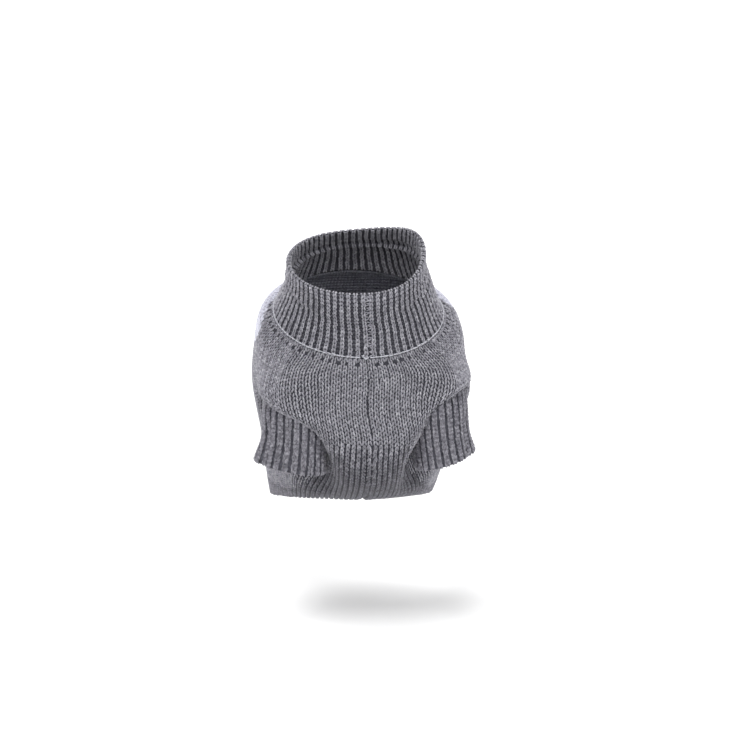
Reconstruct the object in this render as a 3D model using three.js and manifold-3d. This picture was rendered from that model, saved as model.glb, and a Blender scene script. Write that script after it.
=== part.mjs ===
// Knitted dog sweater with a funnel neck, two leg cuffs and a ribbed hem, in the pose in which it is worn.
// Millimetres, +Z up, the chest faces -Y. The origin is the middle of the neck seam.
import * as THREE from 'three';
import { mergeVertices } from 'three/addons/utils/BufferGeometryUtils.js';
import Module from 'manifold-3d';

const wasm = await Module();
wasm.setup();

// Cloth and seams
const BODY_WALL = 2.0;
const RIB_WALL = 1.8;
const RIB_HEIGHT = 0.8;
const SEAM_GAP = 0.3;
const FRONT_SEAM_GAP = 0.5;
const FRONT_LEAN = 1.8;
const RIM_ROUNDING = 0.6;
const RIM_ROUNDING_START = 0.93;

// Room round each cuff's wall in the panel and hem, and how far the leg's way is cut on past the rim
const CUFF_ROOM = 0.45;
const CHANNEL_ROOM = 0.2;
const ROOM_PAST_RIM = 1;
const CHANNEL_PAST_RIM = 6;

// Points round and along each piece, and outer points for each inner one where there are ribs
const BODY_AROUND = 64;
const BODY_ALONG = 20;
const COLLAR_RIBS = 64;
const COLLAR_ALONG = 5;
const CUFF_RIBS = 24;
const CUFF_ALONG = 4;
const HEM_ALONG = 5;
const CUTTER_AROUND = 36;
const COLLAR_PROFILE = [0, 1, 0];
const CUFF_PROFILE = [0, 1, 1, 0];
const HEM_PROFILE = [0, 1, 0, 1];
const HEM_RIB_HEIGHT = 0.6;

// Notch where the collar's own seam meets the front seam
const NOTCH_DEPTH = 3.2;
const NOTCH_HALF_ANGLE = 0.055;

// Ribbed hem: where it starts along the body, at the belly and at the back
const HEM_START_BELLY = 0.41;
const HEM_START_BACK = 0.84;
const HEM_LEVEL_ANGLE = 0.3;
const HEM_SIDE_ANGLE = 1.15;

// Way of the legs past the trunk. Above a leg hole the trunk swells over the leg, below it the trunk
// passes behind. Each change runs from a first to a second height, LEG_TOP measured from the leg hole's seam.
const MIDDLE_X = 1.6;
const LEG_Y = -32;
const LEG_INWARD = [-0.55, 0.835];
const SWELL_RADIUS = 22.4;
const SWELL_TOP = [-24, -40];
const LEG_RADIUS = 26.6;
const LEG_TOP = [0, -8];
const LEG_BOTTOM = [-120, -110];
const LEG_SHELF = 1.0;

// The one deep fold down each cuff's outer side, and the lip beside it that turns out at the rim
const FOLD_DEPTH = 1.8;
const FOLD_HALF_ANGLE = 0.17;
const FOLD_START = [0.3, 0.6];
const LIP_OUT = 1.6;
const LIP_ANGLE = 1.6;
const LIP_HALF_ANGLE = 0.5;
const LIP_START = [0.7, 1];

// Grid on which the push past the legs is worked out and softened
const PUSH_AROUND = 144;
const PUSH_ALONG = 66;
const PUSH_SOFTENING = 9;

function table(columns, rows) {
  return rows.map((row) => Object.fromEntries(columns.map((name, i) => [name, row[i]])));
}

// One row for each section of the trunk, from the neck seam to the hem
const SECTION = ['frontY', 'frontZ', 'backY', 'backZ', 'halfWidth', 'frontFull', 'backFull', 'keel', 'shift'];
const BODY = table(SECTION, [
  [-44, -23, 44, 23, 54.5, 2.0, 2.0, 0.00, -0.5],
  [-50, -36, 52.5, 19.5, 65, 2.25, 2.5, -0.04, 0.3],
  [-57, -54, 65, 4, 66.5, 2.8, 2.0, -0.03, -0.8],
  [-60.5, -72, 77, -17, 70.2, 2.1, 2.2, 0.00, 1.8],
  [-60, -88, 89, -44, 66.5, 1.8, 2.2, 0.08, 1.5],
  [-51, -103, 103, -74, 61.5, 1.8, 2.15, 0.18, 1.5],
  [-34, -113.5, 116, -104, 58, 1.95, 2.1, 0.20, 1.0],
  [-13, -120, 125, -129, 55.5, 2.1, 2.1, 0.12, 0.5],
  [8, -124, 130, -146, 54, 2.1, 2.1, 0.06, 0.5],
]);

// The collar, from the neck seam to the rim
const COLLAR = table(SECTION, [
  [-44, -23, 44, 23, 54.5, 2.0, 2.0, 0, -0.5],
  [-43.6, -14, 42.5, 30, 50.2, 2.0, 2.0, 0, -0.8],
  [-44.2, -4.5, 38.5, 36.5, 45.6, 2.1, 2.05, 0, -1.2],
  [-47.6, 4.5, 34.5, 42, 43.4, 2.1, 2.1, 0, -2.6],
  [-51.2, 13, 30.5, 47, 43.2, 2.1, 2.1, 0, -3.0],
  [-51.5, 19, 28, 49.5, 43.4, 2.1, 2.1, 0, -3.2],
]);

// How far the collar rides up at each side: where round it, over what angle, and how high at kink and rim
const COLLAR_LIFTS = table(['angle', 'halfAngle', 'kink', 'rim'], [
  [1.8, 0.9, 10, 11.5],
  [-1.3, 0.6, 3, 0],
]);
const COLLAR_LIFT_START = 0.1;
const COLLAR_KINK = 0.5;

// Each cuff, from inside the leg hole to its rim
const CUFF_SECTION = ['outX', 'y', 'z', 'halfWidth', 'halfDepth'];
const CUFFS = [
  {
    name: 'cuff_left',
    side: -1,
    legX: 45.5,
    rimSlope: 0.19,
    seamZ: -58,
    seamSlope: 0.5,
    seamTop: -47,
    foldAngle: 1.02,
    rows: table(CUFF_SECTION, [
      [44.4, -30, -44, 18.8, 19.4],
      [45.0, -31.5, -60, 19.8, 20.4],
      [45.6, -32, -76, 19.8, 20.3],
      [47.6, -32.5, -94, 21.6, 21.5],
    ]),
  },
  {
    name: 'cuff_right',
    side: 1,
    legX: 49,
    rimSlope: 0.30,
    seamZ: -48,
    seamSlope: 0.75,
    seamTop: -43,
    foldAngle: 0.92,
    rows: table(CUFF_SECTION, [
      [45.8, -30, -40.5, 17.2, 18.2],
      [46.9, -31.3, -56, 18.0, 19.8],
      [48.4, -32, -74, 17.6, 20],
      [51.0, -32.5, -91.5, 17.8, 20.5],
    ]),
  },
];

// Steps for the normals, and how far along each piece the neck seam's own direction reaches
const NORMAL_ANGLE = 0.05;
const NORMAL_STEP = 0.02;
const NECK_BLEND = new Map([[bodyMiddle, 0.04], [collarMiddle, 0.12]]);

const GREY = '#8a8a92';
const COLORS = {
  body_panel: GREY,
  collar: '#84848c',
  cuff_left: '#7e7e87',
  cuff_right: '#7e7e87',
  hem_rib: '#80808a',
};

function smooth(from, to, value) {
  const q = Math.min(1, Math.max(0, (value - from) / (to - from)));
  return q * q * (3 - 2 * q);
}

// Smooth curve through the rows of a table
function rowAt(rows, t) {
  const last = rows.length - 1;
  const x = Math.min(1, Math.max(0, t)) * last;
  const i = Math.min(last - 1, Math.floor(x));
  const f = x - i;
  const result = {};
  for (const key of Object.keys(rows[0])) {
    const b = rows[i][key];
    const c = rows[i + 1][key];
    const a = i > 0 ? rows[i - 1][key] : 2 * b - c;
    const d = i < last - 1 ? rows[i + 2][key] : 2 * c - b;
    result[key] = 0.5 * (2 * b + (c - a) * f + (2 * a - 5 * b + 4 * c - d) * f * f
      + (3 * b - a - 3 * c + d) * f * f * f);
  }
  return result;
}

// Point on a section, angle 0 at the chest
function sectionPoint(rows, angle, t) {
  const r = rowAt(rows, t);
  const cos = Math.cos(angle);
  const sin = Math.sin(angle);
  const fullness = r.backFull + (r.frontFull - r.backFull) * (0.5 + 0.5 * cos);
  const c = Math.sign(cos) * Math.abs(cos) ** (2 / fullness);
  const s = Math.sign(sin) * Math.abs(sin) ** (2 / fullness);
  return new THREE.Vector3(
    r.shift + FRONT_LEAN * (0.5 + 0.5 * cos) + r.halfWidth * s * (1 - r.keel * c),
    (r.frontY + r.backY) / 2 + (r.frontY - r.backY) / 2 * c,
    (r.frontZ + r.backZ) / 2 + (r.frontZ - r.backZ) / 2 * c,
  );
}

// How far a point inside a circle round the leg moves to its near side (way -1) or far side (way 1)
function moveToSide(along, across, radius, way) {
  if (Math.abs(across) >= radius) return 0;
  const half = Math.sqrt(radius ** 2 - across ** 2);
  const place = along / half;
  if (Math.abs(place) >= 1) return 0;
  const target = way * (2 * smooth(-1, -1 + LEG_SHELF, way * place) - 1);
  return (target - place) * half;
}

// Above the leg holes the trunk swells over the legs, and below them it passes behind
function pushPastLegs(point) {
  const side = point.x < MIDDLE_X ? -1 : 1;
  const cuff = CUFFS.find((one) => one.side === side);
  const [inX, inY] = LEG_INWARD;
  const x = side * (point.x - MIDDLE_X) - cuff.legX;
  const y = point.y - LEG_Y;
  const along = x * inX + y * inY;
  const across = y * inX - x * inY;
  const seam = Math.min(cuff.seamTop, cuff.seamZ + cuff.seamSlope * x);
  const below = smooth(...LEG_TOP, point.z - seam);
  const swell = smooth(...SWELL_TOP, point.z) * (1 - below);
  const behind = below * smooth(...LEG_BOTTOM, point.z);
  const move = moveToSide(along, across, SWELL_RADIUS, -1) * swell
    + moveToSide(along, across, LEG_RADIUS, 1) * behind;
  return new THREE.Vector3(side * inX * move, inY * move, 0);
}

// The push on a grid of angles and sections, each point softened by its neighbours
function softenedPush() {
  const column = (i) => (i + PUSH_AROUND) % PUSH_AROUND;
  const row = (j) => Math.min(PUSH_ALONG, Math.max(0, j));
  let grid = Array.from({ length: PUSH_ALONG + 1 }, (_, j) => Array.from({ length: PUSH_AROUND }, (_, i) => (
    pushPastLegs(sectionPoint(BODY, i / PUSH_AROUND * 2 * Math.PI, j / PUSH_ALONG)))));
  const soften = (before, here, after) => (
    before.clone().add(after).multiplyScalar(0.25).addScaledVector(here, 0.5));
  for (let pass = 0; pass < PUSH_SOFTENING; pass += 1) {
    const round = grid.map((line) => line.map((v, i) => soften(line[column(i - 1)], v, line[column(i + 1)])));
    grid = round.map((line, j) => line.map((v, i) => soften(round[row(j - 1)][i], v, round[row(j + 1)][i])));
  }
  return grid;
}

const PUSH = softenedPush();

function pushAt(angle, t) {
  const x = ((angle / (2 * Math.PI)) % 1 + 1) % 1 * PUSH_AROUND;
  const y = Math.min(1, Math.max(0, t)) * PUSH_ALONG;
  const [i, j] = [Math.floor(x) % PUSH_AROUND, Math.min(PUSH_ALONG - 1, Math.floor(y))];
  const [fx, fy] = [x - Math.floor(x), y - j];
  const next = (i + 1) % PUSH_AROUND;
  const low = PUSH[j][i].clone().lerp(PUSH[j][next], fx);
  const high = PUSH[j + 1][i].clone().lerp(PUSH[j + 1][next], fx);
  return low.lerp(high, fy);
}

function bodyMiddle(angle, t) {
  return sectionPoint(BODY, angle, t).add(pushAt(angle, t));
}

function bell(value, half) {
  return Math.exp(-((value / half) ** 2));
}

function turnedTo(angle, from) {
  return Math.atan2(Math.sin(angle - from), Math.cos(angle - from));
}

function collarMiddle(angle, t) {
  const point = sectionPoint(COLLAR, angle, t);
  for (const lift of COLLAR_LIFTS) {
    const height = lift.kink * smooth(COLLAR_LIFT_START, COLLAR_KINK, t)
      + (lift.rim - lift.kink) * smooth(COLLAR_KINK, 1, t);
    point.z += height * bell(turnedTo(angle, lift.angle), lift.halfAngle);
  }
  return point;
}

function cuffMiddle(cuff, angle, t) {
  const r = rowAt(cuff.rows, t);
  const turned = (angle + Math.PI) % (2 * Math.PI) - Math.PI;
  const fold = FOLD_DEPTH * bell(turned - cuff.foldAngle, FOLD_HALF_ANGLE) * smooth(...FOLD_START, t);
  const lip = LIP_OUT * bell(turned - LIP_ANGLE, LIP_HALF_ANGLE) * smooth(...LIP_START, t);
  const out = Math.sin(angle) * (r.halfWidth + lip - fold);
  return new THREE.Vector3(
    MIDDLE_X + cuff.side * (r.outX + out),
    r.y - (r.halfDepth + lip - fold) * Math.cos(angle),
    r.z + cuff.rimSlope * out * t,
  );
}

function normalOf(surface, angle, t) {
  const acrossStep = surface(angle + NORMAL_ANGLE, t).sub(surface(angle - NORMAL_ANGLE, t));
  const low = Math.max(0, t - NORMAL_STEP);
  const high = Math.min(1, t + NORMAL_STEP);
  const alongStep = surface(angle, high).sub(surface(angle, low));
  const normal = acrossStep.cross(alongStep).normalize();
  const outward = surface(angle, t).sub(surface(angle + Math.PI, t));
  return normal.dot(outward) < 0 ? normal.negate() : normal;
}

// Both sides of the neck seam share one direction, so that their edges run side by side
function neckNormal(angle) {
  return normalOf(bodyMiddle, angle, 0).add(normalOf(collarMiddle, angle, 0)).normalize();
}

// Moves a point of a surface outward by a distance
function raised(surface, angle, t, distance) {
  const normal = normalOf(surface, angle, t);
  const blend = NECK_BLEND.get(surface);
  if (blend && t < blend) normal.lerp(neckNormal(angle), 1 - smooth(0, blend, t)).normalize();
  return surface(angle, t).addScaledVector(normal, distance);
}

function facingOut(geometry) {
  const p = geometry.attributes.position;
  const index = geometry.index.array;
  const [a, b, c] = [new THREE.Vector3(), new THREE.Vector3(), new THREE.Vector3()];
  let volume = 0;
  for (let i = 0; i < index.length; i += 3) {
    a.fromBufferAttribute(p, index[i]);
    b.fromBufferAttribute(p, index[i + 1]);
    c.fromBufferAttribute(p, index[i + 2]);
    volume += a.dot(b.cross(c));
  }
  if (volume < 0) {
    for (let i = 0; i < index.length; i += 3) {
      [index[i + 1], index[i + 2]] = [index[i + 2], index[i + 1]];
    }
  }
  return geometry;
}

// A wall between an outer and an inner surface. The outer one has ribPoints points for each inner one.
function wall({ outer, inner, around, along, ribPoints, closed }) {
  const position = [];
  const index = [];
  const grid = (surface, columns) => {
    const first = position.length / 3;
    const count = closed ? columns : columns + 1;
    for (let j = 0; j <= along; j += 1) {
      for (let i = 0; i < count; i += 1) {
        position.push(...surface(i / columns, j / along, i).toArray());
      }
    }
    return (i, j) => first + j * count + (closed ? i % columns : i);
  };
  const out = grid(outer, around * ribPoints);
  const ins = grid(inner, around);
  const quad = (a, b, c, d) => index.push(a, b, c, a, c, d);
  for (let j = 0; j < along; j += 1) {
    for (let i = 0; i < around * ribPoints; i += 1) {
      quad(out(i, j), out(i + 1, j), out(i + 1, j + 1), out(i, j + 1));
    }
    for (let i = 0; i < around; i += 1) {
      quad(ins(i, j), ins(i, j + 1), ins(i + 1, j + 1), ins(i + 1, j));
    }
  }
  const half = Math.ceil(ribPoints / 2);
  for (const [j, flip] of [[0, false], [along, true]]) {
    const triangle = (a, b, c) => (flip ? index.push(a, b, c) : index.push(a, c, b));
    for (let i = 0; i < around; i += 1) {
      for (let k = 0; k < ribPoints; k += 1) {
        const from = i * ribPoints + k;
        triangle(out(from, j), out(from + 1, j), ins(k < half ? i : i + 1, j));
      }
      triangle(out(i * ribPoints + half, j), ins(i + 1, j), ins(i, j));
    }
  }
  if (!closed) {
    const end = around * ribPoints;
    for (let j = 0; j < along; j += 1) {
      quad(out(0, j), out(0, j + 1), ins(0, j + 1), ins(0, j));
      quad(out(end, j), ins(around, j), ins(around, j + 1), out(end, j + 1));
    }
  }
  const geometry = new THREE.BufferGeometry();
  geometry.setAttribute('position', new THREE.Float32BufferAttribute(position, 3));
  geometry.setIndex(index);
  return facingOut(geometry);
}

// The space inside a tube, closed at both ends
function filled(surface, around, along) {
  const position = [];
  const index = [];
  for (let j = 0; j <= along; j += 1) {
    for (let i = 0; i < around; i += 1) {
      position.push(...surface(i / around, j / along).toArray());
    }
  }
  const at = (i, j) => j * around + (i % around);
  for (let j = 0; j < along; j += 1) {
    for (let i = 0; i < around; i += 1) {
      index.push(at(i, j), at(i + 1, j), at(i + 1, j + 1), at(i, j), at(i + 1, j + 1), at(i, j + 1));
    }
  }
  for (const [j, flip] of [[0, true], [along, false]]) {
    const centre = new THREE.Vector3();
    for (let i = 0; i < around; i += 1) {
      centre.add(new THREE.Vector3().fromArray(position, at(i, j) * 3));
    }
    centre.divideScalar(around);
    const hub = position.length / 3;
    position.push(...centre.toArray());
    for (let i = 0; i < around; i += 1) {
      if (flip) index.push(at(i + 1, j), at(i, j), hub);
      else index.push(at(i, j), at(i + 1, j), hub);
    }
  }
  const geometry = new THREE.BufferGeometry();
  geometry.setAttribute('position', new THREE.Float32BufferAttribute(position, 3));
  geometry.setIndex(index);
  return facingOut(geometry);
}

function toManifold(geometry) {
  const bare = geometry.clone();
  bare.deleteAttribute('normal');
  bare.deleteAttribute('uv');
  const merged = mergeVertices(bare, 1e-5);
  return new wasm.Manifold(new wasm.Mesh({
    numProp: 3,
    vertProperties: new Float32Array(merged.attributes.position.array),
    triVerts: new Uint32Array(merged.index.array),
  }));
}

function fromManifold(solid) {
  const mesh = solid.getMesh();
  const geometry = new THREE.BufferGeometry();
  geometry.setAttribute('position', new THREE.Float32BufferAttribute(mesh.vertProperties, 3));
  geometry.setIndex(Array.from(mesh.triVerts));
  return geometry;
}

// Keeps the largest closed piece after a cut
function largest(solid) {
  return solid.decompose().sort((a, b) => b.volume() - a.volume())[0];
}

function turn(u) {
  return u * 2 * Math.PI;
}

// The same for a piece that is open at the front seam, with an even gap there
function openTurn(u, t) {
  const r = rowAt(BODY, t);
  const half = Math.asin((FRONT_SEAM_GAP / 2 / r.halfWidth) ** (r.frontFull / 2));
  return half + u * 2 * (Math.PI - half);
}

function fromFront(angle) {
  return Math.PI - Math.abs(Math.PI - angle);
}

// Where the hem rib starts along the body, in straight steps from one panel column to the next
function hemStart(u) {
  const start = (column) => {
    const side = smooth(HEM_LEVEL_ANGLE, HEM_SIDE_ANGLE, fromFront(turn(column / BODY_AROUND)));
    return HEM_START_BELLY + (HEM_START_BACK - HEM_START_BELLY) * side;
  };
  const column = Math.min(BODY_AROUND - 1, Math.floor(u * BODY_AROUND + 1e-6));
  const part = u * BODY_AROUND - column;
  return start(column) * (1 - part) + start(column + 1) * part;
}

// Height of a rib at an outer point
function ribAt(profile, column) {
  return RIB_HEIGHT * profile[column % profile.length];
}

// Length of the body along one line, for gaps in millimetres
const BODY_LENGTH = 165;
const COLLAR_LENGTH = 44;
const HEM_GAP = SEAM_GAP / BODY_LENGTH;
const COLLAR_GAP = SEAM_GAP / COLLAR_LENGTH;

function bodyPanel(grown = 0) {
  const place = (u, v) => {
    const end = hemStart(u) - HEM_GAP + grown / BODY_LENGTH;
    const t = HEM_GAP + (end - HEM_GAP) * v;
    return [openTurn(u, t), t];
  };
  const at = (distance) => (u, v) => raised(bodyMiddle, ...place(u, v), distance);
  return wall({
    outer: at(BODY_WALL / 2 + grown),
    inner: at(-BODY_WALL / 2 - grown),
    around: BODY_AROUND,
    along: BODY_ALONG,
    ribPoints: 1,
    closed: false,
  });
}

function hemRib() {
  const place = (u, v) => {
    const start = hemStart(u) + HEM_GAP;
    const t = start + (1 - start) * v;
    return [openTurn(u, t), t];
  };
  const outer = (u, v, i) => {
    const [angle, t] = place(u, v);
    const rib = HEM_RIB_HEIGHT * HEM_PROFILE[i % HEM_PROFILE.length];
    return raised(bodyMiddle, angle, t, RIB_WALL / 2 + rib);
  };
  const inner = (u, v) => raised(bodyMiddle, ...place(u, v), -RIB_WALL / 2);
  const ribPoints = HEM_PROFILE.length;
  return wall({ outer, inner, around: BODY_AROUND, along: HEM_ALONG, ribPoints, closed: false });
}

function collar() {
  const place = (u, v) => {
    const angle = turn(u);
    const away = Math.min(u, 1 - u) * 2 * Math.PI;
    const notch = NOTCH_DEPTH / COLLAR_LENGTH * (1 - smooth(0, NOTCH_HALF_ANGLE, away));
    const start = COLLAR_GAP + notch;
    return [angle, start + (1 - start) * v];
  };
  const outer = (u, v, i) => {
    const [angle, t] = place(u, v);
    const rimRound = 1 - RIM_ROUNDING * smooth(RIM_ROUNDING_START, 1, v);
    return raised(collarMiddle, angle, t, RIB_WALL / 2 + ribAt(COLLAR_PROFILE, i) * rimRound);
  };
  const inner = (u, v) => raised(collarMiddle, ...place(u, v), -RIB_WALL / 2);
  const ribPoints = COLLAR_PROFILE.length;
  return wall({ outer, inner, around: COLLAR_RIBS, along: COLLAR_ALONG, ribPoints, closed: true });
}

function cuffTube(cuff) {
  const surface = (angle, t) => cuffMiddle(cuff, angle, t);
  const outer = (u, v, i) => raised(surface, turn(u), v, ribAt(CUFF_PROFILE, i) - RIB_HEIGHT / 2);
  const inner = (u, v) => raised(surface, turn(u), v, -RIB_WALL - RIB_HEIGHT / 2);
  const ribPoints = CUFF_PROFILE.length;
  return wall({ outer, inner, around: CUFF_RIBS, along: CUFF_ALONG, ribPoints, closed: true });
}

// The room that a cuff's wall takes up, with the seam's gap round it
function cuffRoom(cuff) {
  const surface = (angle, t) => cuffMiddle(cuff, angle, t);
  const at = (distance) => (u, v) => {
    const point = raised(surface, turn(u), v, distance);
    if (v === 1) point.z -= ROOM_PAST_RIM;
    return point;
  };
  const outer = at(RIB_HEIGHT / 2 + CUFF_ROOM);
  const inner = at(-RIB_WALL - RIB_HEIGHT / 2 - CUFF_ROOM);
  return wall({ outer, inner, around: CUTTER_AROUND, along: CUFF_ALONG, ribPoints: 1, closed: true });
}

function legChannel(cuff) {
  const surface = (angle, t) => cuffMiddle(cuff, angle, t);
  return filled((u, v) => {
    const point = raised(surface, turn(u), v, -RIB_WALL - RIB_HEIGHT / 2 - CHANNEL_ROOM);
    if (v === 1) point.z -= CHANNEL_PAST_RIM;
    return point;
  }, CUTTER_AROUND, CUFF_ALONG);
}

function filledTrunk(grown) {
  const distance = BODY_WALL / 2 + grown;
  return filled((u, v) => raised(bodyMiddle, turn(u), v, distance), BODY_AROUND, BODY_ALONG + HEM_ALONG);
}

function named(name, geometry) {
  const flat = geometry.toNonIndexed();
  flat.computeVertexNormals();
  const material = new THREE.MeshStandardMaterial({ color: COLORS[name], roughness: 0.95, name: `${name}_knit` });
  const mesh = new THREE.Mesh(flat, material);
  mesh.name = name;
  return mesh;
}

const sweater = new THREE.Group();
sweater.name = 'dog_sweater';

const trunk = toManifold(filledTrunk(0));
const grownTrunk = toManifold(filledTrunk(SEAM_GAP));
let panel = toManifold(bodyPanel());
let hem = toManifold(hemRib()).subtract(toManifold(bodyPanel(SEAM_GAP)));
for (const cuff of CUFFS) {
  const around = toManifold(cuffRoom(cuff)).subtract(trunk);
  const channel = toManifold(legChannel(cuff));
  panel = panel.subtract(channel).subtract(around);
  hem = hem.subtract(channel).subtract(around);
  const tube = largest(toManifold(cuffTube(cuff)).subtract(grownTrunk));
  sweater.add(named(cuff.name, fromManifold(tube)));
}
sweater.add(named('body_panel', fromManifold(largest(panel))));
sweater.add(named('collar', collar()));
sweater.add(named('hem_rib', fromManifold(largest(hem))));

export default sweater;
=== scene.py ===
import math

import bpy
import numpy as np
from mathutils import Matrix, Vector
from mathutils.bvhtree import BVHTree


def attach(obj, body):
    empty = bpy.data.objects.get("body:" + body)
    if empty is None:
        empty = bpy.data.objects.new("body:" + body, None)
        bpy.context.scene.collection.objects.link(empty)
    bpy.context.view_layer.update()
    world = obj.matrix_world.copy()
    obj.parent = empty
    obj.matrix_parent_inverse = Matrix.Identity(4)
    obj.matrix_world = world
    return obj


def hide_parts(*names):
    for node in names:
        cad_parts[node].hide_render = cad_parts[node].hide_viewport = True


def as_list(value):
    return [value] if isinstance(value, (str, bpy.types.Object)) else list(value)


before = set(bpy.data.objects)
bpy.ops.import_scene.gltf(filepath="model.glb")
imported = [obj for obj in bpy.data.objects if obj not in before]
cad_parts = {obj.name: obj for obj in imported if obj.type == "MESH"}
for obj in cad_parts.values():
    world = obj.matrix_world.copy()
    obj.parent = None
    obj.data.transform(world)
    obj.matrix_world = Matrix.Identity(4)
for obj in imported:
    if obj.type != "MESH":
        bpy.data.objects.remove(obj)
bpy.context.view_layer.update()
MM = 0.001
rng = np.random.default_rng(7)

# The cut of the sweater in millimetres, as in the solids
SECTION = ("front_y", "front_z", "back_y", "back_z", "half_width", "front_full", "back_full", "keel", "shift")
BODY = [
    (-44, -23, 44, 23, 54.5, 2.0, 2.0, 0.00, -0.5),
    (-50, -36, 52.5, 19.5, 65, 2.25, 2.5, -0.04, 0.3),
    (-57, -54, 65, 4, 66.5, 2.8, 2.0, -0.03, -0.8),
    (-60.5, -72, 77, -17, 70.2, 2.1, 2.2, 0.00, 1.8),
    (-60, -88, 89, -44, 66.5, 1.8, 2.2, 0.08, 1.5),
    (-51, -103, 103, -74, 61.5, 1.8, 2.15, 0.18, 1.5),
    (-34, -113.5, 116, -104, 58, 1.95, 2.1, 0.20, 1.0),
    (-13, -120, 125, -129, 55.5, 2.1, 2.1, 0.12, 0.5),
    (8, -124, 130, -146, 54, 2.1, 2.1, 0.06, 0.5),
]
COLLAR = [
    (-44, -23, 44, 23, 54.5, 2.0, 2.0, 0, -0.5),
    (-43.6, -14, 42.5, 30, 50.2, 2.0, 2.0, 0, -0.8),
    (-44.2, -4.5, 38.5, 36.5, 45.6, 2.1, 2.05, 0, -1.2),
    (-47.6, 4.5, 34.5, 42, 43.4, 2.1, 2.1, 0, -2.6),
    (-51.2, 13, 30.5, 47, 43.2, 2.1, 2.1, 0, -3.0),
    (-51.5, 19, 28, 49.5, 43.4, 2.1, 2.1, 0, -3.2),
]
# Where the collar is raised: angle, half angle, how far at the kink, how far at the rim
COLLAR_LIFTS = [(1.8, 0.9, 10, 11.5), (-1.3, 0.6, 3, 0)]
COLLAR_LIFT_START, COLLAR_KINK = 0.1, 0.5
CUFF_SECTION = ("out_x", "y", "z", "half_width", "half_depth")
CUFFS = {
    "cuff_left": dict(side=-1, leg_x=45.5, slope=0.19, seam=(-58, 0.5, -47), fold=1.02, rows=[
        (44.4, -30, -44, 18.8, 19.4), (45.0, -31.5, -60, 19.8, 20.4),
        (45.6, -32, -76, 19.8, 20.3), (47.6, -32.5, -94, 21.6, 21.5)]),
    "cuff_right": dict(side=1, leg_x=49.0, slope=0.30, seam=(-48, 0.75, -43), fold=0.92, rows=[
        (45.8, -30, -40.5, 17.2, 18.2), (46.9, -31.3, -56, 18.0, 19.8),
        (48.4, -32, -74, 17.6, 20), (51.0, -32.5, -91.5, 17.8, 20.5)]),
}
FRONT_LEAN = 1.8
MIDDLE_X = 1.6
LEG_Y, LEG_RADIUS, LEG_SHELF = -32.0, 26.6, 1.0
LEG_INWARD = (-0.55, 0.835)
CAP_RADIUS, CAP_TOP = 22.4, (-24, -40)
LEG_TOP, LEG_BOTTOM = (0, -8), (-120, -110)
HEM_START = (0.41, 0.84)
HEM_ANGLES = (0.3, 1.15)
PUSH_AROUND, PUSH_ALONG, PUSH_SOFTENING = 144, 66, 9
FOLD_DEPTH, FOLD_HALF, FOLD_START = 1.8, 0.17, (0.3, 0.6)
LIP_OUT, LIP_ANGLE, LIP_HALF, LIP_START = 1.6, 1.6, 0.5, (0.7, 1)

# The knit
WALES = 128
WALE = 3.4
COURSE = 2.65
FRONT_WALES = 15
DEPTH_SHARE = 0.5
COLLAR_RIBS = 64
CUFF_RIBS = 24


def smooth(a, b, v):
    q = np.clip((v - a) / (b - a), 0, 1)
    return q * q * (3 - 2 * q)


def spline(rows, t):
    rows = np.asarray(rows, float)
    last = len(rows) - 1
    x = np.clip(np.asarray(t, float), 0, 1) * last
    i = np.clip(np.floor(x).astype(int), 0, last - 1)
    f = (x - i)[..., None]
    a, b, c, d = (rows[np.clip(i + k, 0, last)] for k in (-1, 0, 1, 2))
    a = np.where((i == 0)[..., None], 2 * b - c, a)
    d = np.where((i == last - 1)[..., None], 2 * c - b, d)
    return 0.5 * (2 * b + (c - a) * f + (2 * a - 5 * b + 4 * c - d) * f**2 + (3 * b - a - 3 * c + d) * f**3)


def section(rows, angle, t):
    r = dict(zip(SECTION, np.moveaxis(spline(rows, t), -1, 0)))
    cos, sin = np.cos(angle), np.sin(angle)
    full = r["back_full"] + (r["front_full"] - r["back_full"]) * (0.5 + 0.5 * cos)
    c = np.sign(cos) * np.abs(cos) ** (2 / full)
    s = np.sign(sin) * np.abs(sin) ** (2 / full)
    x = r["shift"] + FRONT_LEAN * (0.5 + 0.5 * cos) + r["half_width"] * s * (1 - r["keel"] * c)
    y = (r["front_y"] + r["back_y"]) / 2 + (r["front_y"] - r["back_y"]) / 2 * c
    z = (r["front_z"] + r["back_z"]) / 2 + (r["front_z"] - r["back_z"]) / 2 * c
    return np.stack([x, y, z], -1)


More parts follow.
